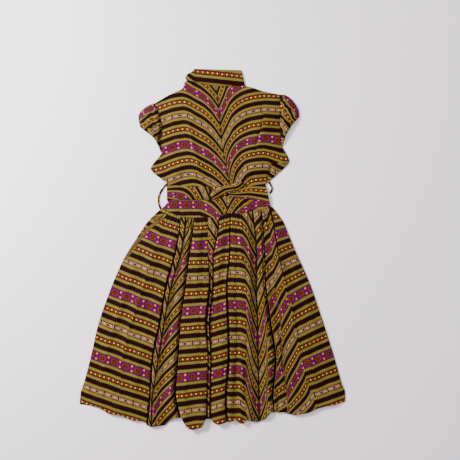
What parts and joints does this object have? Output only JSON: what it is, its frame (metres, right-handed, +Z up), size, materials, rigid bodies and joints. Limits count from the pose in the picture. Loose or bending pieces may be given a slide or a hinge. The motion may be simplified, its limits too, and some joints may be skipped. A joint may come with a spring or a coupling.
{
  "type": "ankara wax print dress",
  "caption": "Cap-sleeved wax print cotton dress with a stand collar, V-striped bodice, twisted sash belt and full pleated skirt, laid flat and face up.",
  "frame": {"origin": "middle of the dress's length and width, on the surface it lies on", "axes": "+Y from the hem to the collar, +Z up from the surface, +X to the right as seen from above"},
  "size_m": [0.88, 1.194, 0.0154],
  "materials": {
    "bodice_front": "waxed cotton print, soft sheen",
    "bodice_back": "waxed cotton print, soft sheen",
    "sleeve_left": "waxed cotton print, soft sheen",
    "sleeve_right": "waxed cotton print, soft sheen",
    "collar": "waxed cotton print, soft sheen",
    "midriff_front": "waxed cotton print, soft sheen",
    "midriff_back": "waxed cotton print, soft sheen",
    "skirt_front": "waxed cotton print, soft sheen",
    "skirt_back": "waxed cotton print, soft sheen",
    "belt_front_left": "waxed cotton print, soft sheen",
    "belt_front_right": "waxed cotton print, soft sheen",
    "belt_twist": "waxed cotton print, soft sheen",
    "belt_back": "waxed cotton print, soft sheen",
    "belt_loop_left": "waxed cotton print, soft sheen",
    "belt_loop_right": "waxed cotton print, soft sheen"
  },
  "bodies": {
    "root": {"bodice_front": "bodice_front", "bodice_back": "bodice_back", "sleeve_left": "sleeve_left", "sleeve_right": "sleeve_right", "collar": "collar", "midriff_front": "midriff_front", "midriff_back": "midriff_back", "skirt_front": "skirt_front", "skirt_back": "skirt_back", "belt_front_left": "belt_front_left", "belt_front_right": "belt_front_right", "belt_twist": "belt_twist", "belt_back": "belt_back", "belt_loop_left": "belt_loop_left", "belt_loop_right": "belt_loop_right"}
  },
  "joints": []
}
